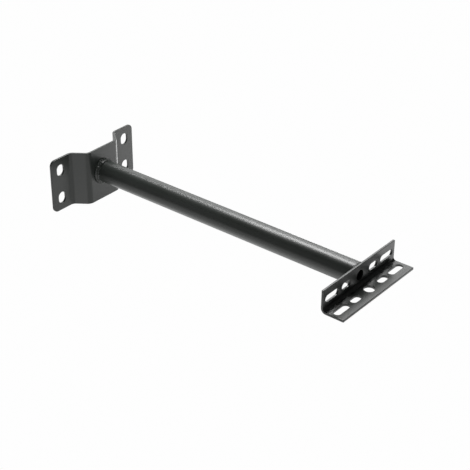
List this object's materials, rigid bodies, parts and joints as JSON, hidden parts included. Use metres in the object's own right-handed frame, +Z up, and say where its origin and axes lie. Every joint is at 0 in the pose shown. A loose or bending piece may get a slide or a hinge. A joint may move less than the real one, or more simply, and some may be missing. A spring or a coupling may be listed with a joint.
{
  "type": "pull up bar",
  "caption": "Rigid steel arm of a wall pull-up bar: a round tube welded between a folded slotted wall bracket and a slotted end angle.",
  "frame": {"origin": "on the tube's axis, in the plane of the wall that the bracket's flanges lie against", "axes": "+X along the tube away from the wall, +Y across the arm, +Z up"},
  "size_m": [0.4693, 0.1544, 0.0762],
  "materials": {
    "black_powder_coat": "satin black powder coat"
  },
  "bodies": {
    "root": {"wall_bracket": "black_powder_coat", "bar_tube": "black_powder_coat", "end_angle": "black_powder_coat", "wall_weld": "black_powder_coat", "end_weld": "black_powder_coat"}
  },
  "joints": []
}
